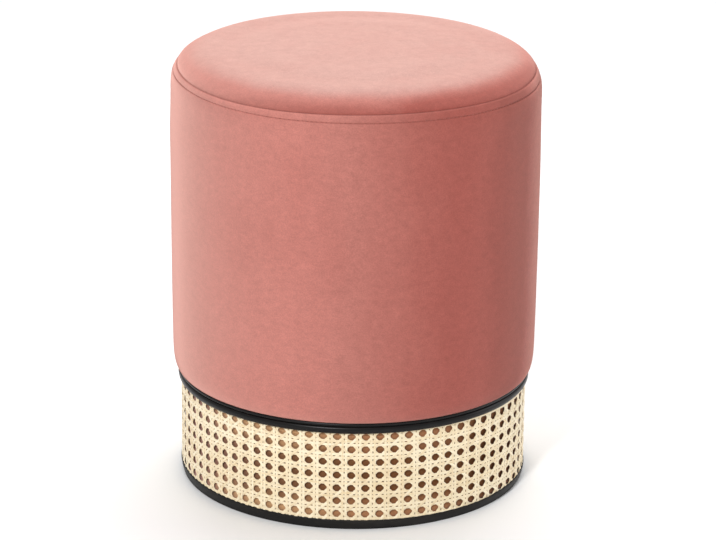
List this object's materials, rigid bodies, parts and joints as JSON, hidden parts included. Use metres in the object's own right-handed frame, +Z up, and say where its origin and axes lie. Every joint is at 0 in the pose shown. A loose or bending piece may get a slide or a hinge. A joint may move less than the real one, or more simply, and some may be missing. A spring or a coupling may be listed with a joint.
{
  "type": "velvet pouf",
  "caption": "Round padded velvet pouf with a top-stitched seam round its crowned seat, on a slightly recessed drum base wrapped in open cane webbing between black edgings.",
  "frame": {"origin": "on the floor, under the middle of the pouf", "axes": "+Z up through the middle of the seat; the side that the picture shows faces -Y"},
  "size_m": [0.3384, 0.3388, 0.4079],
  "materials": {
    "velvet": "short, dense velvet pile in dusty pink with a soft sheen",
    "base_velvet": "the same velvet, stretched over the base drum behind the cane",
    "cane": "natural woven cane, satin skin",
    "black_edging": "black edging with a soft gloss"
  },
  "bodies": {
    "root": {"top_panel": "velvet", "side_panel": "velvet", "base_drum": "base_velvet", "cane_band": "cane", "piping": "black_edging", "lower_trim": "black_edging"}
  },
  "joints": []
}
